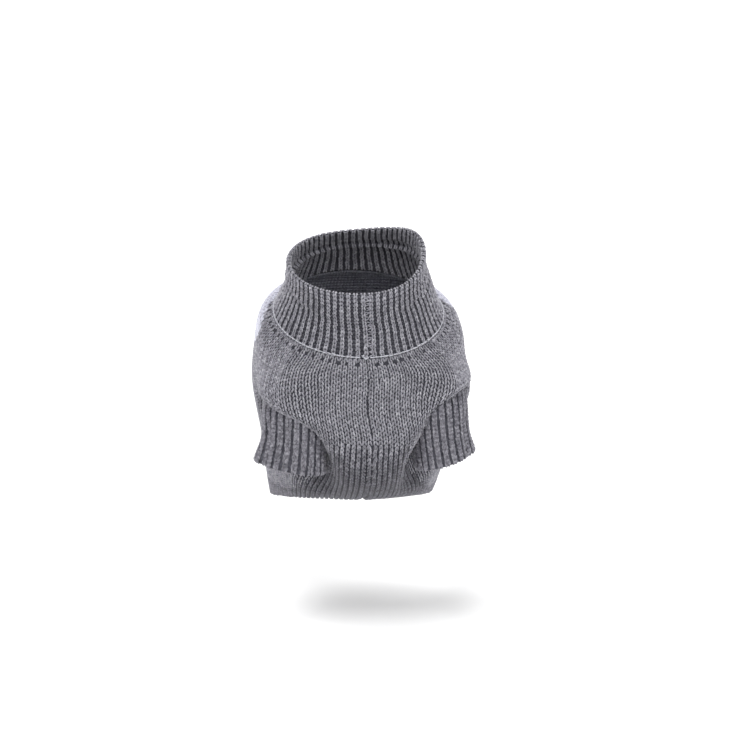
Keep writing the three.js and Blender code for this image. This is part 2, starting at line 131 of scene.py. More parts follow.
def push_past_legs(p):
    """Above the leg holes the trunk swells over the cuffs, and below them it passes behind."""
    side = np.where(p[..., 0] < MIDDLE_X, -1.0, 1.0)
    pick = {key: np.where(side < 0, a, b) for key, a, b in (
        ("leg_x", CUFFS["cuff_left"]["leg_x"], CUFFS["cuff_right"]["leg_x"]),
        ("seam", CUFFS["cuff_left"]["seam"][0], CUFFS["cuff_right"]["seam"][0]),
        ("slope", CUFFS["cuff_left"]["seam"][1], CUFFS["cuff_right"]["seam"][1]),
        ("top", CUFFS["cuff_left"]["seam"][2], CUFFS["cuff_right"]["seam"][2]))}
    out = side * (p[..., 0] - MIDDLE_X)
    x, y = out - pick["leg_x"], p[..., 1] - LEG_Y
    along = x * LEG_INWARD[0] + y * LEG_INWARD[1]
    across = y * LEG_INWARD[0] - x * LEG_INWARD[1]
    below = smooth(*LEG_TOP, p[..., 2] - np.minimum(pick["top"], pick["seam"] + pick["slope"] * x))
    power = {-1: smooth(*CAP_TOP, p[..., 2]) * (1 - below), 1: below * smooth(*LEG_BOTTOM, p[..., 2])}
    move = 0
    for way, radius in ((-1, CAP_RADIUS), (1, LEG_RADIUS)):
        half = np.sqrt(np.maximum(radius**2 - across**2, 1e-9))
        place = along / half
        target = way * (2 * smooth(-1, -1 + LEG_SHELF, way * place) - 1)
        move = move + (target - place) * half * power[way] * ((np.abs(across) < radius) & (np.abs(place) < 1))
    return np.stack([side * LEG_INWARD[0] * move, LEG_INWARD[1] * move, 0 * move], -1)


def softened_push():
    around = np.arange(PUSH_AROUND) / PUSH_AROUND * 2 * math.pi
    angle, t = np.meshgrid(around, np.linspace(0, 1, PUSH_ALONG + 1))
    grid = push_past_legs(section(BODY, angle, t))
    for _ in range(PUSH_SOFTENING):
        grid = (np.roll(grid, 1, 1) + np.roll(grid, -1, 1)) / 4 + grid / 2
        before = np.concatenate([grid[:1], grid[:-1]])
        after = np.concatenate([grid[1:], grid[-1:]])
        grid = (before + after) / 4 + grid / 2
    return grid


PUSH = softened_push()


def body(angle, t):
    x = (angle / (2 * math.pi)) % 1 * PUSH_AROUND
    y = np.clip(t, 0, 1) * PUSH_ALONG
    i, j = np.floor(x).astype(int) % PUSH_AROUND, np.minimum(PUSH_ALONG - 1, np.floor(y).astype(int))
    fx, fy = (x - np.floor(x))[..., None], (y - j)[..., None]
    k = (i + 1) % PUSH_AROUND
    low = PUSH[j, i] * (1 - fx) + PUSH[j, k] * fx
    high = PUSH[j + 1, i] * (1 - fx) + PUSH[j + 1, k] * fx
    return section(BODY, angle, t) + low * (1 - fy) + high * fy


def collar(angle, t):
    p = section(COLLAR, angle, t)
    for at, half, kink, rim in COLLAR_LIFTS:
        turned = np.arctan2(np.sin(angle - at), np.cos(angle - at))
        height = kink * smooth(COLLAR_LIFT_START, COLLAR_KINK, t) + (rim - kink) * smooth(COLLAR_KINK, 1, t)
        p[..., 2] += height * np.exp(-((turned / half) ** 2))
    return p


def cuff(spec):
    def surface(angle, t):
        r = dict(zip(CUFF_SECTION, np.moveaxis(spline(spec["rows"], t), -1, 0)))
        turned = (angle + math.pi) % (2 * math.pi) - math.pi
        fold = FOLD_DEPTH * np.exp(-((turned - spec["fold"]) / FOLD_HALF) ** 2) * smooth(*FOLD_START, t)
        more = LIP_OUT * np.exp(-((turned - LIP_ANGLE) / LIP_HALF) ** 2) * smooth(*LIP_START, t) - fold
        out = np.sin(angle) * (r["half_width"] + more)
        return np.stack([MIDDLE_X + spec["side"] * (r["out_x"] + out),
                         r["y"] - (r["half_depth"] + more) * np.cos(angle),
                         r["z"] + spec["slope"] * out * t], -1)
    return surface


def unit(v):
    return v / np.maximum(np.linalg.norm(v, axis=-1, keepdims=True), 1e-9)


def normal(surface, angle, t, da=0.03, dt=0.012):
    u = surface(angle + da, t) - surface(angle - da, t)
    v = surface(angle, np.minimum(1, t + dt)) - surface(angle, np.maximum(0, t - dt))
    n = unit(np.cross(u, v))
    out = surface(angle, t) - surface(angle + math.pi, t)
    return n * np.where((n * out).sum(-1, keepdims=True) < 0, -1, 1)


def hem_start(angle):
    from_front = np.abs((angle + math.pi) % (2 * math.pi) - math.pi)
    return HEM_START[0] + (HEM_START[1] - HEM_START[0]) * smooth(*HEM_ANGLES, from_front)


# Chart of the body: columns of stitches counted from the front seam, rows from the neck
CHART_T = np.linspace(0, 1, 161)


def lengths(points):
    steps = np.linalg.norm(np.diff(points, axis=0), axis=-1)
    return np.concatenate([np.zeros((1,) + steps.shape[1:]), np.cumsum(steps, 0)])


def column_table():
    fine = np.linspace(0, math.pi, 361)
    table = {}
    for side in (-1, 1):
        rows = []
        for t in CHART_T:
            p = section(BODY, side * fine, np.full(fine.shape, t))
            length = lengths(p * (1, DEPTH_SHARE, DEPTH_SHARE))
            pitch = min(WALE, length[-1] / (WALES / 2) * 1.4)
            knots = np.array([0, pitch * FRONT_WALES, length[-1]])
            place = np.interp(np.arange(0, WALES // 2 + 1), [0, FRONT_WALES, WALES / 2], knots)
            rows.append(np.interp(place, length, fine))
        table[side] = np.array(rows)
    return np.concatenate([-table[-1][:, :0:-1], table[1]], 1)


COLUMN_ANGLE = column_table()


def column_angle(c, t):
    x = np.clip(c + WALES // 2, 0, WALES)
    y = np.clip(t, 0, 1) * (len(CHART_T) - 1)
    i = np.minimum(np.floor(x).astype(int), WALES - 1)
    j = np.minimum(np.floor(y).astype(int), len(CHART_T) - 2)
    fx, fy = x - i, y - j
    low = COLUMN_ANGLE[j, i] * (1 - fx) + COLUMN_ANGLE[j, i + 1] * fx
    high = COLUMN_ANGLE[j + 1, i] * (1 - fx) + COLUMN_ANGLE[j + 1, i + 1] * fx
    return low * (1 - fy) + high * fy


def course_lines(surface, angle, pitch):
    t = np.linspace(0, 1, 400)
    length = lengths(surface(np.full(t.shape, angle), t))
    count = int(length[-1] / pitch)
    return np.interp(np.arange(count + 1) * length[-1] / count, length, t)


def body_courses(columns):
    """Rows of stitches an even distance apart, counted down each column from the neck seam."""
    t = np.linspace(0, 1, 401)
    found = []
    for c in columns:
        length = lengths(body(column_angle(np.full(t.shape, c), t), t))
        count = int(length[-1] / COURSE)
        place = np.interp((np.arange(count) + 0.5) * COURSE, length, t)
        found.append(np.stack([np.full(count, c), np.arange(count), place,
                               COURSE / np.interp(place, t, np.gradient(length, t))], 1))
    return np.concatenate(found).T


# The front seam wanders from side to side: how far, in columns, at some places along the body
SEAM_T = (0, 0.05, 0.16, 0.23, 0.30, 0.37, 0.45, 0.62, 1)
SEAM_COLUMN = (0, 0.15, -0.25, 0.05, 0.5, -0.9, -1.2, -0.7, 0)


def seam_line(t):
    return np.interp(t, SEAM_T, SEAM_COLUMN)


def seam_dip(c, t):
    beside = c - seam_line(t)
    pucker = 0.35 * np.exp(-((beside - 1.1) / 0.6) ** 2) * (1 + 0.7 * np.sin(95 * t))
    return -1.3 * np.exp(-(beside / 0.42) ** 2) + pucker


# Creases: angle and share of the length where each begins, the same where it ends, half width and depth.
# Angles are in degrees, widths and depths in millimetres. A negative depth is a ridge.
CREASES = [
    (76, 0.300, 44, 0.385, 2.2, -1.3),
    (76, 0.328, 44, 0.410, 1.2, 1.5),
    (-70, 0.31, -46, 0.385, 2.2, -0.6),
    (-26, 0.13, -9, 0.075, 2.6, 0.5),
    (30, 0.16, 12, 0.10, 2.2, 0.4),
    (22, 0.30, 6, 0.36, 3.0, 0.6),
    (-24, 0.34, -8, 0.42, 3.2, 0.6),
    (100, 0.30, 128, 0.42, 3.6, 1.1),
    (96, 0.46, 131, 0.56, 3.0, 0.9),
    (112, 0.66, 142, 0.74, 3.4, 1.0),
    (-104, 0.34, -136, 0.44, 3.2, 1.1),
    (-98, 0.50, -127, 0.62, 3.8, 1.2),
    (-116, 0.72, -150, 0.79, 3.0, 0.9),
    (152, 0.09, 179, 0.13, 3.0, 0.8),
    (-170, 0.16, -146, 0.21, 2.6, 0.7),
    (166, 0.43, 173, 0.58, 4.2, 0.8),
    (-172, 0.61, -160, 0.73, 4.0, 0.9),
]
# Millimetres to a radian round the trunk and to its whole length, about
ROUND_MM, LONG_MM = 60, 165


def creases(angle, t):
    total = 0
    for a0, t0, a1, t1, half, depth in CREASES:
        p = np.stack([(angle - math.radians(a0)) * ROUND_MM, (t - t0) * LONG_MM], -1)
        line = np.array([math.radians(a1 - a0) * ROUND_MM, (t1 - t0) * LONG_MM])
        along = (p * line).sum(-1) / (line**2).sum()
        away = np.linalg.norm(p - np.clip(along, 0, 1)[..., None] * line, axis=-1)
        press = depth * np.exp(-((away / half) ** 2)) * smooth(-0.15, 0.25, along)
        total = total - press * smooth(1.15, 0.7, along)
    return total


def body_cloth(c, t, lift):
    angle = column_angle(c, t)
    n = normal(body, angle, t)
    return body(angle, t) + n * (lift + seam_dip(c, t) + creases(angle, t))[..., None], n


# Materials
def material(name, tones, fleck=0.0, rough=0.9, sheen=0.25, bump=0.25, bump_scale=2600):
    m = bpy.data.materials.new(name)
    m.use_nodes = True
    nt = m.node_tree
    bsdf = nt.nodes["Principled BSDF"]
    bsdf.inputs["Roughness"].default_value = rough
    bsdf.inputs["Sheen Weight"].default_value = sheen
    bsdf.inputs["Specular IOR Level"].default_value = 0.2
    where = nt.nodes.new("ShaderNodeTexCoord")
    heather = nt.nodes.new("ShaderNodeTexNoise")
    heather.inputs["Scale"].default_value = 420
    heather.inputs["Detail"].default_value = 4
    heather.inputs["Roughness"].default_value = 0.75
    ramp = nt.nodes.new("ShaderNodeValToRGB")
    ramp.color_ramp.elements[0].position = 0.34
    ramp.color_ramp.elements[1].position = 0.66
    for element, tone in zip(ramp.color_ramp.elements, (tones[0], tones[-1])):
        element.color = (*tone, 1)
    if len(tones) == 3:
        ramp.color_ramp.elements.new(0.5).color = (*tones[1], 1)
    fibre = nt.nodes.new("ShaderNodeTexNoise")
    fibre.inputs["Scale"].default_value = bump_scale
    fibre.inputs["Detail"].default_value = 2
    tilt = nt.nodes.new("ShaderNodeBump")
    tilt.inputs["Strength"].default_value = bump
    tilt.inputs["Distance"].default_value = 0.0004
    nt.links.new(where.outputs["Object"], heather.inputs["Vector"])
    nt.links.new(where.outputs["Object"], fibre.inputs["Vector"])
    nt.links.new(heather.outputs["Fac"], ramp.inputs["Fac"])
    nt.links.new(ramp.outputs["Color"], bsdf.inputs["Base Color"])
    nt.links.new(fibre.outputs["Fac"], tilt.inputs["Height"])
    nt.links.new(tilt.outputs["Normal"], bsdf.inputs["Normal"])
    return m


YARN_GREY = material("yarn_grey", [(0.13, 0.128, 0.15), (0.27, 0.265, 0.30), (0.47, 0.465, 0.505)])
# Painted shade: the base shells under the stitches are painted dark for the shade deep in the gaps of the
# knit
YARN_PAINTED_GAP_SHADE = material("yarn_painted_gap_shade", [(0.018, 0.018, 0.024), (0.05, 0.05, 0.062)])
# Painted shade: dark yarn for the cuffs' grooves, the collar's valleys and the right armhole's crease
YARN_SHADE = material("yarn_shade", [(0.035, 0.035, 0.045), (0.10, 0.10, 0.12)])
YARN_LIGHT = material("yarn_light", [(0.40, 0.40, 0.47), (0.58, 0.58, 0.66), (0.72, 0.72, 0.80)])
# Painted shade: the base shell under the paler back is painted darker than its yarn, for the shade in the
# gaps
YARN_LIGHT_PAINTED_GAP_SHADE = material("yarn_light_painted_gap_shade", [(0.20, 0.20, 0.25), (0.30, 0.30, 0.36)])
YARN_LINK = material("yarn_link", [(0.40, 0.40, 0.44), (0.60, 0.60, 0.66)])
# Rib yarn of cuffs and hem: a little darker than the body's yarn, and darker still as painted shade on these
# lower parts
YARN_RIB_AND_PAINTED_SHADE = material("yarn_rib_and_painted_shade", [(0.09, 0.088, 0.106), (0.195, 0.19, 0.22), (0.37, 0.365, 0.40)])
# Painted shade: a darker yarn for the belly near the hem, for the shadow between the legs
YARN_BELLY_PAINTED_SHADE = material("yarn_belly_painted_shade", [(0.07, 0.069, 0.084), (0.15, 0.147, 0.17), (0.26, 0.256, 0.285)])
# Painted shade: the inside of the garment is painted darker than its yarn
YARN_INSIDE_PAINTED_SHADE = material("yarn_inside_painted_shade", [(0.07, 0.069, 0.082), (0.15, 0.148, 0.168), (0.27, 0.266, 0.29)])
YARN_INSIDE_LIGHT_PAINTED_SHADE = material("yarn_inside_light_painted_shade",
                             [(0.24, 0.24, 0.29), (0.36, 0.36, 0.42), (0.50, 0.50, 0.56)])
YARN_FLECK = material("yarn_fleck", [(0.04, 0.04, 0.05), (0.14, 0.14, 0.17)])


def mesh_object(name, verts, quads=(), tris=(), materials=(), index=None):
    quads = np.asarray(quads, np.int32).reshape(-1, 4)
    tris = np.asarray(tris, np.int32).reshape(-1, 3)
    me = bpy.data.meshes.new(name)
    me.vertices.add(len(verts))
    me.vertices.foreach_set("co", (np.asarray(verts) * MM).astype(np.float32).ravel())
    me.loops.add(quads.size + tris.size)
    me.loops.foreach_set("vertex_index", np.concatenate([quads.ravel(), tris.ravel()]))
    starts = np.concatenate([np.arange(len(quads)) * 4, quads.size + np.arange(len(tris)) * 3])
    me.polygons.add(len(starts))
    me.polygons.foreach_set("loop_start", starts.astype(np.int32))
    for m in materials:
        me.materials.append(m)
    if index is not None:
        me.polygons.foreach_set("material_index", np.asarray(index, np.int32))
    me.update(calc_edges=True)
    me.validate()
    me.shade_smooth()
    o = bpy.data.objects.new(name, me)
    bpy.context.collection.objects.link(o)
    return o


RINGS = ((0.16, 0.78), (0.5, 1.0), (0.84, 0.78))
FEW_RINGS = ((0.25, 1.0), (0.75, 1.0))


def spindles(p0, p1, n, width, depth, bow, rings=RINGS):
    """Closed yarn pieces from p0 to p1, flat against the cloth. Gives vertices, quads and triangles."""
    count = len(p0)
    d = p1 - p0
    side = unit(np.cross(d, n))
    up = unit(np.cross(side, d))
    width, depth, bow = (np.broadcast_to(v, count)[:, None] for v in (width, depth, bow))
    rows = [p0[:, None]]
    for s, k in rings:
        centre = p0 + d * s + up * bow * 4 * s * (1 - s)
        rows.append(np.stack([centre + side * width / 2 * k, centre + up * depth / 2 * k,
                              centre - side * width / 2 * k, centre - up * depth / 2 * k], 1))
    rows.append(p1[:, None])
    verts = np.concatenate(rows, 1)
    size = verts.shape[1]
    quads, tris = [], []
    for k in range(4):
        j = (k + 1) % 4
        tris.append((0, 1 + j, 1 + k))
        tris.append((size - 1, size - 5 + k, size - 5 + j))
        for ring in range(len(rings) - 1):
            a = 1 + 4 * ring
            quads.append((a + k, a + j, a + 4 + j, a + 4 + k))
    base = (np.arange(count) * size)[:, None, None]
    quads, tris = np.array(quads) + base, np.array(tris) + base
    return verts.reshape(-1, 3), quads.reshape(-1, 4), tris.reshape(-1, 3)


def join(parts):
    verts, quads, tris, start = [], [], [], 0
    for v, q, t in parts:
        verts.append(v)
        quads.append(q + start)
        tris.append(t + start)
        start += len(v)
    return np.concatenate(verts), np.concatenate(quads), np.concatenate(tris)


def stitches(cloth, c, t, course_t, foot=0.37, head=0.10, tall=1.25, width=1.15, depth=1.3, lift=0.8,
             bow=0.35, loose=0.04, keep=None):
    """Two legs for each stitch, meeting at the top. c is the column, t the row, course_t the row's height."""
    parts = []
    wob = rng.normal(0, 1, (len(c), 3)) * np.asarray(loose)[..., None]
    size = rng.normal(1, 0.07, len(c))
    for hand in (-1, 1):
        low_c = c + hand * foot + wob[:, 0]
        high_c = c + hand * head + wob[:, 1]
        low_t = t + course_t * (tall / 2 + wob[:, 2])
        high_t = t - course_t * (tall / 2)
        on = np.ones(len(c), bool) if keep is None else keep(low_c / 2 + high_c / 2, t)
        p0, n0 = cloth(low_c[on], low_t[on], np.full(on.sum(), lift - 0.45))
        p1, n1 = cloth(high_c[on], high_t[on], np.full(on.sum(), lift - 0.15))
        parts.append(spindles(p0, p1, unit(n0 + n1), (width * size)[on], depth, bow))
    return join(parts)


def bars(cloth, c, t, half, width, depth, lift, bow, rings=FEW_RINGS):
    """Short bars of yarn across the columns, as on the back of a stitch."""
    slant = rng.normal(0, 0.0015, len(c))
    p0, n0 = cloth(c - half, t - slant, np.full(len(c), lift))
    p1, n1 = cloth(c + half, t + slant, np.full(len(c), lift))
    return spindles(p0, p1, unit(n0 + n1), width, depth, bow, rings)


def grid_shell(name, outer, inner, closed, keep=None, materials=(), index=None):
    """A thin shell between two grids of points (along, around, 3). keep marks the faces that stay."""
    rows, cols = outer.shape[:2]
    i = np.arange(cols if closed else cols - 1)
    j = np.arange(rows - 1)
    jj, ii = np.meshgrid(j, i, indexing="ij")
    nxt = (ii + 1) % cols
    a, b, c, d = jj * cols + ii, jj * cols + nxt, (jj + 1) * cols + nxt, (jj + 1) * cols + ii
    keep = np.ones(jj.shape, bool) if keep is None else keep
    quads = np.stack([a, b, c, d], -1)[keep]
    offset = rows * cols
    back = quads[:, ::-1] + offset
    edges = np.stack([quads, np.roll(quads, -1, 1)], -1).reshape(-1, 2)
    key = np.sort(edges, 1)
    _, inverse, counts = np.unique(key, axis=0, return_inverse=True, return_counts=True)
    rim = edges[counts[inverse.ravel()] == 1]
    walls = np.stack([rim[:, 1], rim[:, 0], rim[:, 0] + offset, rim[:, 1] + offset], -1)
    verts = np.concatenate([outer.reshape(-1, 3), inner.reshape(-1, 3)])
    faces = np.concatenate([quads, back, walls])
    if index is not None:
        flat = index[keep]
        index = np.concatenate([flat, flat, np.zeros(len(walls), int)])
    seen, compact = np.unique(faces, return_inverse=True)
    return mesh_object(name, verts[seen], compact.reshape(-1, 4), (), materials, index)


def leg_distance(p, spec):
    """How far a point is outside a cuff's wall, level with it, in millimetres."""
    rows = np.array(spec["rows"], float)
    z = np.clip(p[..., 2], rows[-1, 2], rows[0, 2])
    out_x, y, w, d = (np.interp(-z, -rows[:, 2], rows[:, k]) for k in (0, 1, 3, 4))
    x = (p[..., 0] - MIDDLE_X) * spec["side"] - out_x
    return np.hypot(x, p[..., 1] - y) - (w + d) / 2


def outside_legs(p, margin):
    keep = np.ones(p.shape[:-1], bool)
    for spec in CUFFS.values():
        top, bottom, z = spec["rows"][0], spec["rows"][-1], p[..., 2]
        rim = bottom[2] + spec["slope"] * ((p[..., 0] - MIDDLE_X) * spec["side"] - bottom[0])
        keep &= (leg_distance(p, spec) > margin) | (z > top[2] + 1) | (z < rim - 6)
    return keep


# Where the paler back begins, as an angle from the front for some lines along the body
LIGHT_T = (0.0, 0.03, 0.06, 0.12, 0.18, 0.25, 0.33, 0.45, 0.60, 0.74, 0.80)
LIGHT_LEFT = (115, 107, 97, 85, 87, 95, 102, 114, 134, 160, 181)
LIGHT_RIGHT = (108, 106, 104, 100, 97, 97, 101, 113, 134, 160, 181)


def is_light(c, t):
    angle = np.degrees(column_angle(c, t))
    edge = np.where(angle < 0, np.interp(t, LIGHT_T, LIGHT_LEFT), np.interp(t, LIGHT_T, LIGHT_RIGHT))
    return np.abs(angle) > edge


# Body: a thin shell with its stitches
SHELL_HALF = 0.45
NECK_EDGE = 0.004
RIM_EDGE = 0.992
FRONT_ANGLE = 1.35
FLECK_SHARE = 0.006


def chart_shell(name, t0_of, t1_of, materials, index_of, per=2, rows=84):
    cols = np.arange(-WALES // 2 * per, WALES // 2 * per + 1) / per
    v = np.linspace(0, 1, rows)[:, None]
    c = np.broadcast_to(cols, (rows, len(cols)))
    mid = column_angle(cols, np.full(cols.shape, 0.6))
    t = t0_of(mid) + (t1_of(mid) - t0_of(mid)) * v
    outer, _ = body_cloth(c, t, np.full(t.shape, SHELL_HALF))
    inner, _ = body_cloth(c, t, np.full(t.shape, -SHELL_HALF))
    centre = (outer[:-1, :-1] + outer[1:, 1:] + inner[:-1, :-1] + inner[1:, 1:]) / 4
    keep = outside_legs(centre, -1.5)
    index = index_of(np.floor(c[:-1, :-1] + 0.5 / per + 0.5), t[:-1, :-1])
    outer[:, -1], inner[:, -1] = outer[:, 0], inner[:, 0]
    return grid_shell(name, outer[:, :-1], inner[:, :-1], True, keep, materials, index)


# The shells show only between the stitches, and their dark colours are painted shade for those gaps
body_shell = chart_shell("body_cloth", lambda a: 0 * a + NECK_EDGE, hem_start, (YARN_PAINTED_GAP_SHADE, YARN_LIGHT_PAINTED_GAP_SHADE),
                         lambda c, t: is_light(c, t).astype(int))
hem_shell = chart_shell("hem_cloth", hem_start, lambda a: 0 * a + 1, (YARN_PAINTED_GAP_SHADE,),
                        lambda c, t: np.zeros(c.shape, int), rows=44)

col, _, row_t, row_h = body_courses(np.arange(-WALES // 2, WALES // 2) + 0.5)
at_angle = column_angle(col, row_t)
point, _ = body_cloth(col, row_t, np.zeros(len(col)))
clear = outside_legs(point, 0.6)
hem_line = hem_start(at_angle) - NECK_EDGE
plain = clear & (row_t < hem_line)
ribbed = clear & (row_t >= hem_line) & (row_t < RIM_EDGE)
light = is_light(col, row_t)
front = np.abs(at_angle) < FRONT_ANGLE
loose = 0.035 + 0.05 * np.exp(-((col - seam_line(row_t) - 1.2) / 1.2) ** 2)
fleck = light & (rng.random(len(col)) < FLECK_SHARE)

# Small holes where each rib of the collar was linked on
HOLE_T = 0.034
HOLE_HALF = (0.95, 1.5)
NECK_ROUND_MM = 52
SEAM_CLEAR = 0.09
hole_angle = np.arange(COLLAR_RIBS) / COLLAR_RIBS * 2 * math.pi - math.pi + rng.normal(0, 0.006, COLLAR_RIBS)
hole_angle = hole_angle[np.abs(hole_angle) > SEAM_CLEAR]


def whole(c, t):
    """False for a leg that falls in a hole."""
    angle = column_angle(c, t)
    near = np.abs(angle[:, None] - hole_angle).min(1) * NECK_ROUND_MM
    along = (t - HOLE_T) * LONG_MM
    return (near / HOLE_HALF[0]) ** 2 + (along / HOLE_HALF[1]) ** 2 >= 1


def stitch_object(name, mask, mats, **kw):
    v, q, t = stitches(body_cloth, col[mask], row_t[mask], row_h[mask], loose=loose[mask], keep=whole, **kw)
    return mesh_object(name, v, q, t, mats)


body_pieces = [
    stitch_object("body_stitches_front", plain & ~light & front, (YARN_GREY,)),
    stitch_object("body_stitches_back", plain & ~light & ~front, (YARN_GREY,)),
    stitch_object("body_stitches_light", plain & light & ~fleck, (YARN_LIGHT,)),
    stitch_object("body_flecks", plain & fleck, (YARN_FLECK,)),
]


def inside_object(name, mask, mats):
    v, q, t = bars(body_cloth, col[mask], row_t[mask], 0.5, 1.5, 1.1, -0.85, -0.45)
    return mesh_object(name, v, q, t, mats)


# The inside's yarn is darker than the outside's, as painted shade within the garment
body_pieces += [inside_object("body_inside", plain & ~light, (YARN_INSIDE_PAINTED_SHADE,)),
                inside_object("body_inside_light", plain & light, (YARN_INSIDE_LIGHT_PAINTED_SHADE,))]
# Painted shade: towards the hem more of the belly's stitches take a darker yarn, for the shadow between the
# legs
painted_shade_share = smooth(0.40, 0.62, row_t) * smooth(FRONT_ANGLE, 0.6, np.abs(at_angle))
mixed = rng.random(len(col))
belly_painted_shade = mixed < painted_shade_share
paler = (mixed > 0.35 + 1.3 * smooth(0.40, 0.56, row_t)) & ~belly_painted_shade
rib_look = dict(foot=0.27, head=0.08, lift=0.95, width=1.15)
hem_pieces = [stitch_object("hem_stitches_belly_painted_shade", ribbed & belly_painted_shade, (YARN_BELLY_PAINTED_SHADE,), **rib_look),
              stitch_object("hem_stitches_start", ribbed & paler, (YARN_GREY,), **rib_look),
              stitch_object("hem_stitches", ribbed & ~belly_painted_shade & ~paler, (YARN_RIB_AND_PAINTED_SHADE,), **rib_look),
              inside_object("hem_inside", ribbed, (YARN_INSIDE_PAINTED_SHADE,))]

# Tubes with ribs: collar and cuffs
def no_relief(angle, t):
    return 0 * angle


def tube_cloth(surface, ribs, relief=no_relief):
    def cloth(c, t, lift):
        angle = c / ribs * 2 * math.pi
        n = normal(surface, angle, t)
        return surface(angle, t) + n * (lift + relief(angle, t))[..., None], n
    return cloth


# The kink round the collar, where the flare meets the tube: its place by angle, and how sharp it is
KINK_ANGLE = (-180, -60, 0, 20, 41, 62, 90, 180)
KINK_T = (0.50, 0.50, 0.475, 0.50, 0.56, 0.52, 0.5, 0.5)


def kink(angle, t):
    turned = np.arctan2(np.sin(angle), np.cos(angle))
    away = t - np.interp(np.degrees(turned), KINK_ANGLE, KINK_T)
    side = smooth(0.45, 1.2, np.abs(turned))
    uneven = 1 + 0.25 * np.sin(3 * turned + 1) + 0.15 * np.sin(11 * turned)
    trough = (0.35 + 1.4 * side) * uneven * np.exp(-((away + 0.01) / 0.03) ** 2)
    ridge = (0.15 + 1.1 * side) * uneven * np.exp(-((away - 0.06) / 0.045) ** 2)
    return ridge - trough


def rib_height(angle, ribs):
    return 0.5 + 0.5 * np.cos(angle * ribs)


def rib_shell(name, surface, ribs, t0, t1, base, height, thick, keep_of=None, around=6, rows=30,
              relief=no_relief, mats=(YARN_PAINTED_GAP_SHADE,)):
    cols = np.arange(ribs * around)
    angle = cols / (ribs * around) * 2 * math.pi
    v = np.linspace(t0, t1, rows)[:, None]
    a = np.broadcast_to(angle, (rows, len(cols)))
    t = np.broadcast_to(v, a.shape)
    n = normal(surface, a, t)
    p = surface(a, t)
    rise = rib_height(a, ribs) * height
    lift = base + relief(a, t)
    outer = p + n * (lift + rise)[..., None]
    inner = p + n * (lift - thick + rise * 0.5)[..., None]
    keep = None
    if keep_of is not None:
        centre = (outer[:-1] + outer[1:]) / 2
        keep = keep_of(centre)
    return grid_shell(name, outer, inner, True, keep, mats)


# The collar's dark base shows between the ribs as painted shade
collar_shell = rib_shell("collar_cloth", collar, COLLAR_RIBS, 0.0, 1.0, 0.2, 0.5, 1.0, relief=kink, rows=40)
collar_rows = course_lines(collar, 0.0, 2.5)
collar_h = np.gradient(collar_rows)
cc, cr = np.meshgrid(np.arange(COLLAR_RIBS), np.arange(0, len(collar_rows) - 1))
cc, cr = cc.ravel().astype(float), cr.ravel()
mid_t = (collar_rows[cr] + collar_rows[cr + 1]) / 2
collar_cloth = tube_cloth(collar, COLLAR_RIBS, kink)
collar_pieces = []
for name, lift in (("collar_ribs", 1.05), ("collar_ribs_inside", -1.0)):
    shift = 0.0 if lift > 0 else 0.5
    v, q, t = stitches(collar_cloth, cc + shift, mid_t, -collar_h[cr], foot=0.22, head=0.08, lift=lift,
                       width=1.3, depth=1.4)
    collar_pieces.append(mesh_object(name, v, q, t, (YARN_GREY,)))
    # The bars in the valleys are dark yarn, as painted shade in the recesses
    v, q, t = bars(collar_cloth, cc + shift + 0.5, mid_t, 0.26, 0.95, 0.9, lift * 0.1, 0.1 * lift)
    collar_pieces.append(mesh_object(name.replace("ribs", "valleys"), v, q, t, (YARN_SHADE,)))


def rim_loops(name, cloth, columns, t, half_thick, over, width, mats):
    """Loops of yarn over a rim, from its outside to its inside, one on each column."""
    here = np.full(len(columns), t)
    p0, n = cloth(columns, here, np.full(len(columns), half_thick))
    p1, _ = cloth(columns, here, np.full(len(columns), -half_thick))
    before, _ = cloth(columns, here - 0.05, np.full(len(columns), half_thick))
    return mesh_object(name, *spindles(p0, p1, unit(p0 - before), width, 1.1, over), mats)


# The collar's own seam: uneven stitches across one valley near the front
seam_t = np.linspace(0.03, 0.96, 26)
seam_c = 0.55 + 0.12 * np.sin(19 * seam_t)
seam_side = np.where(np.arange(len(seam_t)) % 2 == 0, 1, -1)
reach = rng.uniform(0.22, 0.42, len(seam_t))
p0, n0 = collar_cloth(seam_c - seam_side * reach, seam_t, rng.uniform(0.4, 1.0, len(seam_t)))
slant = rng.uniform(0.01, 0.05, len(seam_t))
p1, n1 = collar_cloth(seam_c + seam_side * reach, seam_t + slant, rng.uniform(0.5, 1.2, len(seam_t)))
seam_yarn = spindles(p0, p1, unit(n0 + n1), 0.85, 0.9, 0.3)
collar_pieces.append(mesh_object("collar_seam", *seam_yarn, (YARN_GREY,)))

rib_edges = (np.arange(COLLAR_RIBS)[:, None] + np.array([-0.2, 0.2])).ravel()
collar_pieces.append(rim_loops("collar_rim", collar_cloth, rib_edges, 0.985, 1.2, 1.1, 1.5, (YARN_GREY,)))

# Which points are outside the trunk, for the cuffs' seams
trunk_a, trunk_t = np.meshgrid(np.linspace(0, 2 * math.pi, 181)[:-1], np.linspace(0, 1, 81))
trunk_p = body(trunk_a, trunk_t)
trunk_n = normal(body, trunk_a, trunk_t)
rows_, cols_ = trunk_a.shape
tj, ti = np.meshgrid(np.arange(rows_ - 1), np.arange(cols_), indexing="ij")
tn = (ti + 1) % cols_
near_row, far_row = tj * cols_, (tj + 1) * cols_
trunk_faces = np.stack([near_row + ti, near_row + tn, far_row + tn, far_row + ti], -1).reshape(-1, 4)
TRUNK = BVHTree.FromPolygons([tuple(v) for v in trunk_p.reshape(-1, 3)], [tuple(f) for f in trunk_faces])
FACE_OUT = unit(trunk_n.reshape(-1, 3)[trunk_faces].mean(1))


